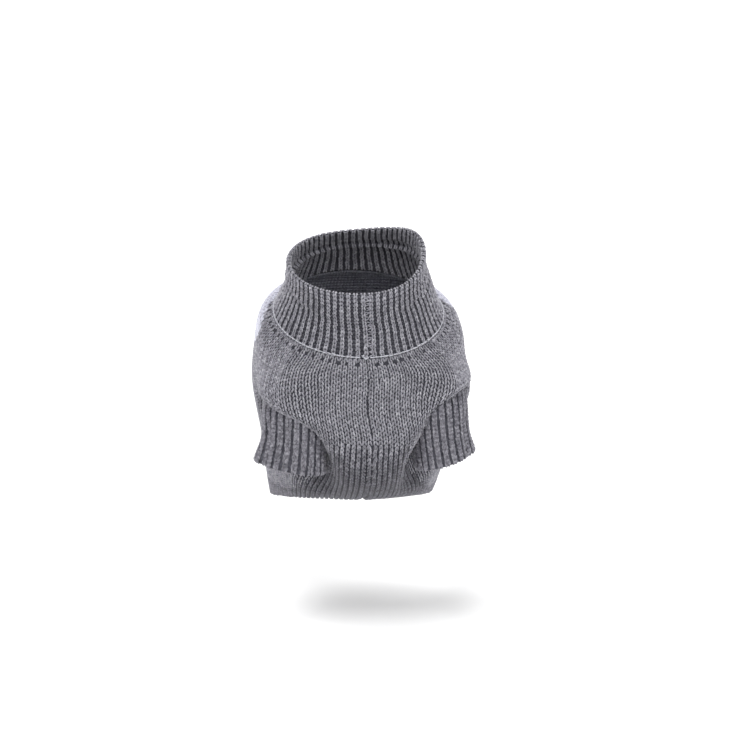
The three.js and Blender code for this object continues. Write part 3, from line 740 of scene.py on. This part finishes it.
def outside_trunk(points, margin):
    flat = points.reshape(-1, 3)
    out = np.zeros(len(flat), bool)
    for k, p in enumerate(flat):
        where, _, face, _ = TRUNK.find_nearest(Vector(p))
        out[k] = float(np.dot(p - np.array(where), FACE_OUT[face])) > margin
    return out.reshape(points.shape[:-1])


def armhole(name, surface, yarn):
    """A row of seam stitches where a cuff comes out of the body."""
    places = 76
    k = np.arange(places) / places * 2 * math.pi
    along = np.linspace(0, 1, 140)
    p = surface(*np.meshgrid(k, along))
    out = outside_trunk(p, 0.7)
    first = out.argmax(0)
    n = normal(surface, k, along[first])
    p0 = p[first, np.arange(places)] + n * 0.8
    p1 = np.roll(p0, -1, 0)
    step = p1 - p0
    on = (first > 0) & (np.roll(first, -1) > 0) & (np.linalg.norm(step, axis=-1) < 4)
    p0, p1, step, n = p0[on], p1[on], step[on], n[on]
    return mesh_object(name, *spindles(p0 - step * 0.2, p1 + step * 0.2, n, 1.0, 1.1, 0.35), (yarn,))


cuff_shells, cuff_pieces = {}, {}
for name, spec in CUFFS.items():
    surface = cuff(spec)
    # The cuffs' base is dark yarn, as painted shade in the grooves between the ribs
    cuff_shells[name] = rib_shell(f"{name}_cloth", surface, CUFF_RIBS, 0.0, 1.0, -0.6, 0.8, 1.0,
                                  lambda p: outside_trunk(p, 0.2), around=8, rows=34, mats=(YARN_SHADE,))
    rows_t = course_lines(surface, 0.0, COURSE)
    heights = np.gradient(rows_t)
    kc, kr = np.meshgrid(np.arange(CUFF_RIBS * 2), np.arange(0, len(rows_t) - 1))
    kc, kr = kc.ravel(), kr.ravel()
    kt = (rows_t[kr] + rows_t[kr + 1]) / 2
    kcol = (kc // 2) + np.where(kc % 2 == 0, -0.165, 0.165)
    cloth = tube_cloth(surface, CUFF_RIBS)
    p, _ = cloth(kcol, kt, np.zeros(len(kcol)))
    on = outside_trunk(p, 0.6)
    outside = stitches(cloth, kcol[on], kt[on], -heights[kr][on], foot=0.12, head=0.04, lift=0.8, width=1.0,
                       depth=1.3)
    inside = bars(cloth, kcol[on], kt[on], 0.2, 1.4, 0.9, -1.3, -0.2)
    edges = (np.arange(CUFF_RIBS)[:, None] + np.array([-0.19, 0.19])).ravel()
    # On the right the armhole seam is dark yarn, as painted shade in the crease where the body overhangs the
    # cuff
    cuff_pieces[name] = [mesh_object(f"{name}_ribs", *outside, (YARN_RIB_AND_PAINTED_SHADE,)),
                         mesh_object(f"{name}_inside", *inside, (YARN_INSIDE_PAINTED_SHADE,)),
                         rim_loops(f"{name}_rim", cloth, edges, 0.985, 0.9, 1.0, 1.6, (YARN_RIB_AND_PAINTED_SHADE,)),
                         armhole(f"{name}_seam", surface, YARN_GREY if spec["side"] < 0 else YARN_SHADE)]


# The light line of linking stitches round the neck, broken by a knot at the front
LINK_COUNT, LINK_T = 112, 0.024
LINK_ENDS = ((-0.3, 0.009), (0.8, -0.003))
KNOT_ANGLE, KNOT_HALF = -0.02, 0.06


def linking(name, surface, mats):
    k = np.arange(LINK_COUNT) / LINK_COUNT * 2 * math.pi - math.pi
    step = 2 * math.pi / LINK_COUNT
    k = k[np.abs(k + step / 2 - KNOT_ANGLE) > KNOT_HALF]
    parts = []
    for hand in (-1, 1):
        wave = rng.normal(0, 0.0022, len(k))
        ends = [surface(k + place * step, LINK_T + hand * across + wave) for place, across in LINK_ENDS]
        n = normal(surface, k, np.full(len(k), LINK_T))
        parts.append(spindles(ends[0] + n * 1.45, ends[1] + n * 1.6, n, 0.62, 0.75, 0.15))
    knots = 11
    a = KNOT_ANGLE + rng.normal(0, 0.018, knots)
    at = LINK_T + rng.normal(0, 0.02, knots)
    n = normal(surface, a, np.full(knots, LINK_T))
    p = surface(a, at) + n * rng.uniform(1.2, 2.0, knots)[:, None]
    turn = rng.uniform(-1, 1, (knots, 3)) * (1.1, 0.4, 1.1)
    parts.append(spindles(p - turn, p + turn, n, 0.7, 0.7, 0.3))
    return mesh_object(name, *join(parts), mats)


link_line = linking("neck_linking", collar, (YARN_LINK,))

# Each shell and its pieces ride on the root, and the solid that the shell stands for is hidden
for shell, node, slot, flat, area, held_by, extra in (
    (body_shell, "body_panel", "body_knit", (0.44, 0.165), 0.052, ["collar_cloth"], body_pieces),
    (collar_shell, "collar", "collar_knit", (0.30, 0.045), None, ["body_cloth"], collar_pieces + [link_line]),
    (cuff_shells["cuff_left"], "cuff_left", "cuff_knit", (0.13, 0.036), 0.0034, ["body_cloth"],
     cuff_pieces["cuff_left"]),
    (cuff_shells["cuff_right"], "cuff_right", "cuff_knit", (0.125, 0.036), 0.0034, ["body_cloth"],
     cuff_pieces["cuff_right"]),
    (hem_shell, "hem_rib", "hem_knit", (0.36, 0.09), 0.0125, ["body_cloth"], hem_pieces),
):
    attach(shell, "root")
    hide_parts(node)
    for piece in extra:
        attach(piece, "root")
    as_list(held_by)
    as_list(extra)

# Camera as in the photo, 1.5 m away, a little above and to the left
AZ, EL, DISTANCE, MM_A_PIXEL, PIXELS = math.radians(-5.5), math.radians(10), 1.5, 0.65, 750
ORIGIN_PIXEL = (358, 313)
SENSOR = 36
back = Vector((math.sin(AZ) * math.cos(EL), -math.cos(AZ) * math.cos(EL), math.sin(EL)))
right = Vector((math.cos(AZ), math.sin(AZ), 0))
up = back.cross(right)
half = PIXELS / 2
target = (right * (half - ORIGIN_PIXEL[0]) - up * (half - ORIGIN_PIXEL[1])) * MM_A_PIXEL * MM
camera = bpy.data.objects.new("camera", bpy.data.cameras.new("camera"))
bpy.context.collection.objects.link(camera)
turned = Matrix((right, up, back)).transposed().to_4x4()
camera.matrix_world = Matrix.Translation(target + back * DISTANCE) @ turned
camera.data.sensor_width = SENSOR
camera.data.lens = SENSOR * DISTANCE / (MM_A_PIXEL * MM * PIXELS)
bpy.context.scene.camera = camera

# Pale floor and soft studio light
FLOOR_Z, FLOOR_BACK = -0.206, 0.71
bpy.ops.mesh.primitive_plane_add(size=1, location=(0, FLOOR_BACK - 3, FLOOR_Z))
floor = bpy.context.object
floor.scale = (12, 6, 1)
floor.name = "floor"
floor_mat = bpy.data.materials.new("floor_white")
floor_mat.use_nodes = True
floor_look = floor_mat.node_tree.nodes["Principled BSDF"].inputs
floor_look["Base Color"].default_value = (0.93, 0.93, 0.93, 1)
floor_look["Roughness"].default_value = 0.8
floor.data.materials.append(floor_mat)
bpy.ops.mesh.primitive_plane_add(size=1, location=(0, 4, 2), rotation=(math.pi / 2, 0, 0))
backdrop = bpy.context.object
backdrop.name = "backdrop"
backdrop.scale = (14, 9, 1)
glow = bpy.data.materials.new("backdrop_white")
glow.use_nodes = True
glow_look = glow.node_tree.nodes["Principled BSDF"].inputs
glow_look["Base Color"].default_value = (1, 1, 1, 1)
glow_look["Emission Color"].default_value = (1, 1, 1, 1)
glow_look["Emission Strength"].default_value = 0.6
backdrop.data.materials.append(glow)


def area_light(name, place, size, power):
    data = bpy.data.lights.new(name, "AREA")
    data.energy, data.size = power, size
    o = bpy.data.objects.new(name, data)
    bpy.context.collection.objects.link(o)
    o.location = place
    o.rotation_euler = (-Vector(place)).to_track_quat("-Z", "Y").to_euler()
    return o


area_light("key", (-0.45, -1.1, 1.9), 0.9, 30)
area_light("fill", (1.2, -1.3, 0.9), 1.2, 9)
area_light("rim", (-0.6, 1.3, 1.5), 1.0, 15)
world = bpy.data.worlds.new("world")
world.use_nodes = True
sky = world.node_tree.nodes["Background"].inputs
sky["Color"].default_value = (1, 1, 1, 1)
sky["Strength"].default_value = 0.72
bpy.context.scene.world = world
bpy.context.scene.view_settings.view_transform = "Standard"
